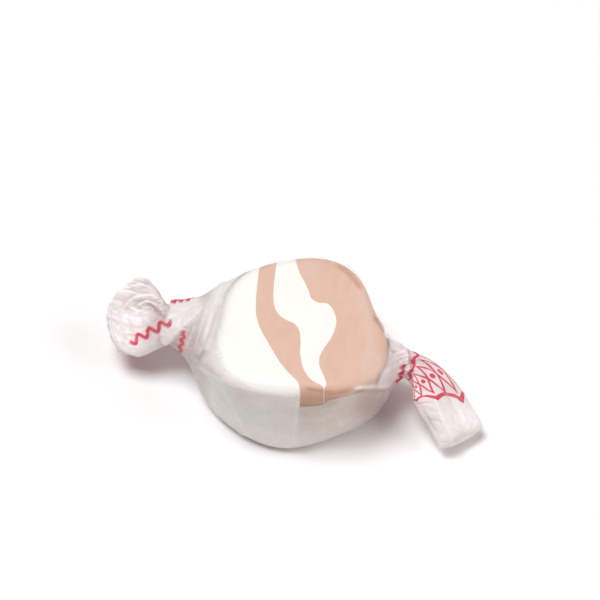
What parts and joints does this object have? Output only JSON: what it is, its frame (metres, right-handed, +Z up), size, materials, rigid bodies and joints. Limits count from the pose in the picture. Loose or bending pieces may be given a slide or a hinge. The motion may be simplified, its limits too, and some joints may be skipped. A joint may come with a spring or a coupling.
{
  "type": "wrapped salt water taffy",
  "caption": "Round slab of striped taffy, white and cocoa layers, in a translucent waxed-paper wrapper twisted shut at both ends, one tail fanned and one drooping.",
  "frame": {"origin": "on the flat underside of the wrapper, under the middle of the candy", "axes": "+X along the twisted ends towards the drooping tail, +Y to the back, +Z up out of the resting face"},
  "size_m": [0.0616, 0.0302, 0.0143],
  "materials": {
    "taffy_white": "satin",
    "taffy_cocoa": "satin",
    "waxed_paper": "satin"
  },
  "bodies": {
    "root": {"taffy_white_outer": "taffy_white", "taffy_cocoa_ribbon": "taffy_cocoa", "taffy_white_core": "taffy_white", "taffy_cocoa_outer": "taffy_cocoa", "wrapper": "waxed_paper"}
  },
  "joints": []
}
